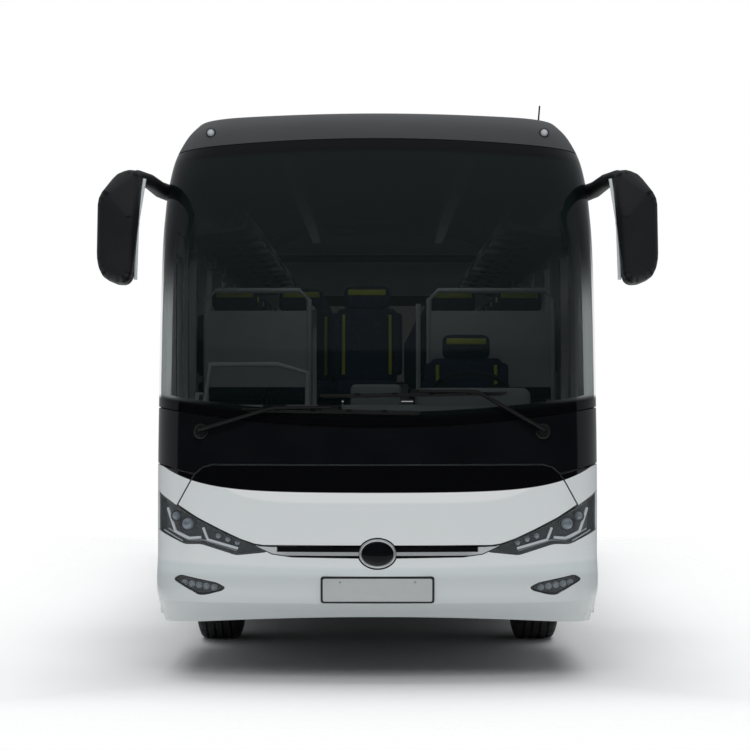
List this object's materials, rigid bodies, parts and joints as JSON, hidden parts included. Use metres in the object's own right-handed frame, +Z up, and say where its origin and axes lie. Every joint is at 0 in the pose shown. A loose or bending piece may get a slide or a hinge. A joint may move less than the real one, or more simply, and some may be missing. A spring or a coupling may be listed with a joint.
{
  "type": "coach bus",
  "caption": "High-deck coach bus with a raked wrap-round windscreen, lifting luggage flaps, steered front wheels and twin rear wheels.",
  "frame": {"origin": "on the ground, midway between nose and tail on the centre line", "axes": "+Z up, +Y towards the tail, +X towards the driver's side"},
  "size_m": [3.228, 11.9984, 3.547],
  "materials": {
    "body_white": "gloss",
    "gloss_black": "gloss",
    "cap_grey": "satin",
    "screen_glass": "gloss",
    "side_glass": "gloss",
    "lamp_clear": "gloss",
    "tail_red": "gloss",
    "chrome": "polished",
    "plate_grey": "satin",
    "black_plastic": "grained",
    "chassis_black": "satin",
    "cast_steel": "rough",
    "floor_grey": "matte",
    "cabin_plastic": "grained",
    "guard_steel": "satin",
    "seat_cloth": "woven",
    "tyre": "matte",
    "rim_silver": "satin"
  },
  "bodies": {
    "body": {"underframe": "chassis_black", "floor": "floor_grey", "wall_left": "body_white", "wall_right": "body_white", "skirt_left": "body_white", "skirt_right": "body_white", "roof": "body_white", "roof_pod": "body_white", "front_cap": "cap_grey", "front_frame": "cabin_plastic", "windscreen": "screen_glass", "cowl": "gloss_black", "front_bumper": "body_white", "headlamps": "lamp_clear", "fog_lamps": "lamp_clear", "front_trim": "chrome", "number_plate": "plate_grey", "mirrors": "black_plastic", "wipers": "black_plastic", "antenna": "black_plastic", "marker_lamps": "lamp_clear", "window_panes": "side_glass", "entry_door": "body_white", "rear_wall": "body_white", "rear_cap": "body_white", "rear_bumper": "body_white", "tail_lamps": "tail_red", "front_axle": "chassis_black", "rear_axle": "chassis_black", "engine": "chassis_black", "dashboard": "cabin_plastic", "crew_seats": "seat_cloth", "seats_left": "seat_cloth", "seats_right": "seat_cloth", "cabin_guards": "guard_steel", "luggage_racks": "cabin_plastic"},
    "service_lid": {"service_lid": "body_white"},
    "engine_lid": {"engine_lid": "body_white"},
    "knuckle_left": {"knuckle_left": "cast_steel"},
    "knuckle_right": {"knuckle_right": "cast_steel"},
    "wheel_front_left": {"tyre_front_left": "tyre", "rim_front_left": "rim_silver"},
    "wheel_front_right": {"tyre_front_right": "tyre", "rim_front_right": "rim_silver"},
    "wheels_rear_left": {"tyres_rear_left": "tyre", "rims_rear_left": "rim_silver"},
    "wheels_rear_right": {"tyres_rear_right": "tyre", "rims_rear_right": "rim_silver"},
    "steering_wheel": {"steering_wheel": "black_plastic"},
    "luggage_flap_left_1": {"luggage_flap_left_1": "body_white"},
    "luggage_flap_left_2": {"luggage_flap_left_2": "body_white"},
    "luggage_flap_left_3": {"luggage_flap_left_3": "body_white"},
    "luggage_flap_right_1": {"luggage_flap_right_1": "body_white"},
    "luggage_flap_right_2": {"luggage_flap_right_2": "body_white"},
    "luggage_flap_right_3": {"luggage_flap_right_3": "body_white"}
  },
  "joints": [
    {"name": "steer_left", "type": "hinge", "parent": "body", "child": "knuckle_left", "pos_m": [0.89, -3.35, 0.52], "axis": [0, 0, 1], "range_deg": [-38, 38]},
    {"name": "steer_right", "type": "hinge", "parent": "body", "child": "knuckle_right", "pos_m": [-0.89, -3.35, 0.52], "axis": [0, 0, 1], "range_deg": [-38, 38]},
    {"name": "spin_front_left", "type": "hinge", "parent": "knuckle_left", "child": "wheel_front_left", "pos_m": [1.04, -3.35, 0.52], "axis": [1, 0, 0], "continuous": true},
    {"name": "spin_front_right", "type": "hinge", "parent": "knuckle_right", "child": "wheel_front_right", "pos_m": [-1.04, -3.35, 0.52], "axis": [1, 0, 0], "continuous": true},
    {"name": "spin_rear_left", "type": "hinge", "parent": "body", "child": "wheels_rear_left", "pos_m": [0.93, 2.75, 0.52], "axis": [1, 0, 0], "continuous": true},
    {"name": "spin_rear_right", "type": "hinge", "parent": "body", "child": "wheels_rear_right", "pos_m": [-0.93, 2.75, 0.52], "axis": [1, 0, 0], "continuous": true},
    {"name": "steering_wheel_turn", "type": "hinge", "parent": "body", "child": "steering_wheel", "pos_m": [0.56, -4.96, 1.64], "axis": [0, 0.4695, 0.8829], "range_deg": [-600, 600]},
    {"name": "service_lid_lift", "type": "hinge", "parent": "body", "child": "service_lid", "pos_m": [0, -5.93, 1.3], "axis": [-1, 0, 0], "range_deg": [0, 70]},
    {"name": "engine_lid_lift", "type": "hinge", "parent": "body", "child": "engine_lid", "pos_m": [0, 5.93, 1.64], "axis": [1, 0, 0], "range_deg": [0, 75]},
    {"name": "luggage_flap_left_1_lift", "type": "hinge", "parent": "body", "child": "luggage_flap_left_1", "pos_m": [1.27, 0, 1.212], "axis": [0, -1, 0], "range_deg": [0, 90]},
    {"name": "luggage_flap_left_2_lift", "type": "hinge", "parent": "body", "child": "luggage_flap_left_2", "pos_m": [1.27, 0, 1.212], "axis": [0, -1, 0], "range_deg": [0, 90]},
    {"name": "luggage_flap_left_3_lift", "type": "hinge", "parent": "body", "child": "luggage_flap_left_3", "pos_m": [1.27, 0, 1.212], "axis": [0, -1, 0], "range_deg": [0, 90]},
    {"name": "luggage_flap_right_1_lift", "type": "hinge", "parent": "body", "child": "luggage_flap_right_1", "pos_m": [-1.27, 0, 1.212], "axis": [0, 1, 0], "range_deg": [0, 90]},
    {"name": "luggage_flap_right_2_lift", "type": "hinge", "parent": "body", "child": "luggage_flap_right_2", "pos_m": [-1.27, 0, 1.212], "axis": [0, 1, 0], "range_deg": [0, 90]},
    {"name": "luggage_flap_right_3_lift", "type": "hinge", "parent": "body", "child": "luggage_flap_right_3", "pos_m": [-1.27, 0, 1.212], "axis": [0, 1, 0], "range_deg": [0, 90]}
  ],
  "couplings": [
    {"joint": "steer_right", "follows": "steer_left", "ratio": 1},
    {"joint": "steering_wheel_turn", "follows": "steer_left", "ratio": 15}
  ]
}
